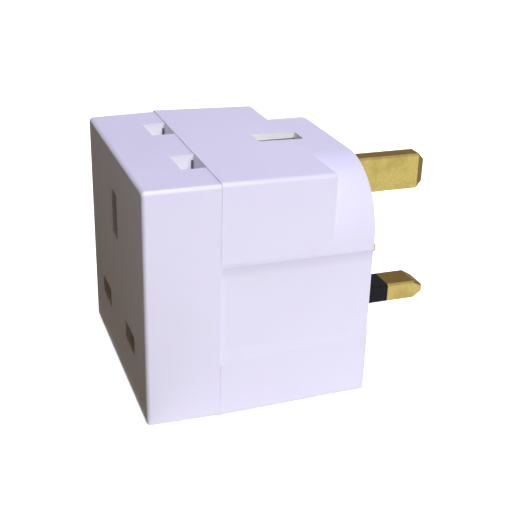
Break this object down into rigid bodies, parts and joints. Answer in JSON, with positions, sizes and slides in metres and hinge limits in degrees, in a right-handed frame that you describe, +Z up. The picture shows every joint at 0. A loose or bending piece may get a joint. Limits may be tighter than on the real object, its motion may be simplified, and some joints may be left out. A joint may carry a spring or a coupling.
{
  "type": "multi socket adapter",
  "caption": "Cube-shaped mains adaptor with a shuttered socket on its front and on its top, and flat pins behind.",
  "frame": {"origin": "middle of the underside of everything, pins included, on the plane that the case stands on", "axes": "+Z up from the underside, +Y towards the pins, +X across, on the live side"},
  "size_m": [0.0506, 0.0678, 0.0483],
  "materials": {
    "case": "moulded, slightly glossy",
    "shutter": "moulded",
    "guide": "moulded",
    "brass": "drawn brass, lightly tarnished",
    "sleeve": "moulded, black",
    "steel": "zinc plated"
  },
  "bodies": {
    "casing": {"front_cover": "case", "rear_housing": "case", "earth_pin": "brass", "live_pin": "brass", "neutral_pin": "brass", "live_sleeve": "sleeve", "neutral_sleeve": "sleeve", "earth_bus": "brass", "live_bus": "brass", "neutral_bus": "brass", "front_earth_clip": "brass", "front_live_clip": "brass", "front_neutral_clip": "brass", "top_earth_clip": "brass", "top_live_clip": "brass", "top_neutral_clip": "brass", "contact_rivets": "brass", "front_guide": "guide", "top_guide": "guide", "front_spring": "steel", "top_spring": "steel", "case_screws": "steel"},
    "front_shutter_body": {"front_shutter": "shutter"},
    "top_shutter_body": {"top_shutter": "shutter"}
  },
  "joints": [
    {"name": "front_shutter_slide", "type": "slide", "parent": "casing", "child": "front_shutter_body", "axis": [0, 0, -1], "range_m": [0, 0.0054], "stiffness_N_per_m": 150, "springref_m": -0.004, "deforming": ["front_spring"]},
    {"name": "top_shutter_slide", "type": "slide", "parent": "casing", "child": "top_shutter_body", "axis": [0, -1, 0], "range_m": [0, 0.0054], "stiffness_N_per_m": 150, "springref_m": -0.004, "deforming": ["top_spring"]}
  ]
}
